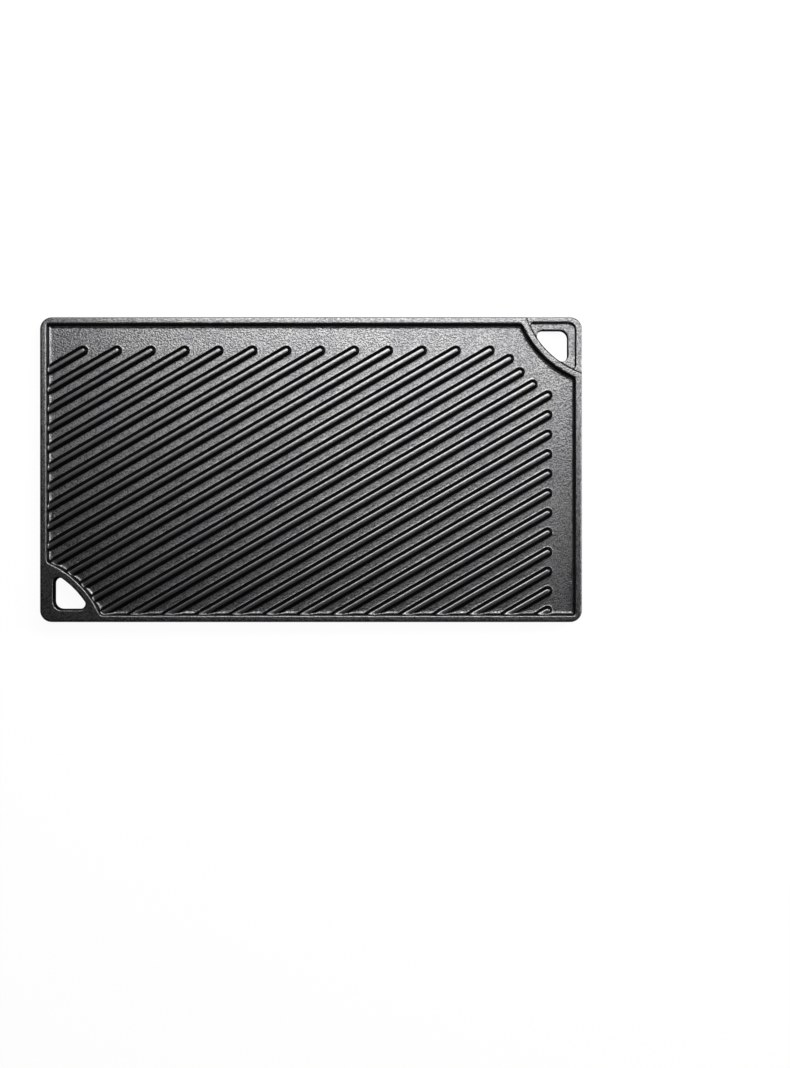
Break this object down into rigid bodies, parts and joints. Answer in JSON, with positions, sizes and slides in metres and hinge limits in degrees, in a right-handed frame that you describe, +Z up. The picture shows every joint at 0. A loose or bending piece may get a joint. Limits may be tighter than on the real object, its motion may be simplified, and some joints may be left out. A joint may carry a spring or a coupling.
{
  "type": "reversible griddle",
  "caption": "Rectangular cast iron griddle plate with diagonal ribs on one face, a flat tray on the other and a finger hole in two opposite corners.",
  "frame": {"origin": "under the centre of the casting, on the plane that the flat face's rim rests on", "axes": "+X along the long side, +Y along the short side towards the handle corner that is recessed on the ribbed face, +Z up out of the ribbed face"},
  "size_m": [0.4254, 0.2396, 0.0172],
  "materials": {
    "seasoned_cast_iron": "black seasoned sand casting, satin, fine pebbled grain"
  },
  "bodies": {
    "root": {"griddle_casting": "seasoned_cast_iron"}
  },
  "joints": []
}
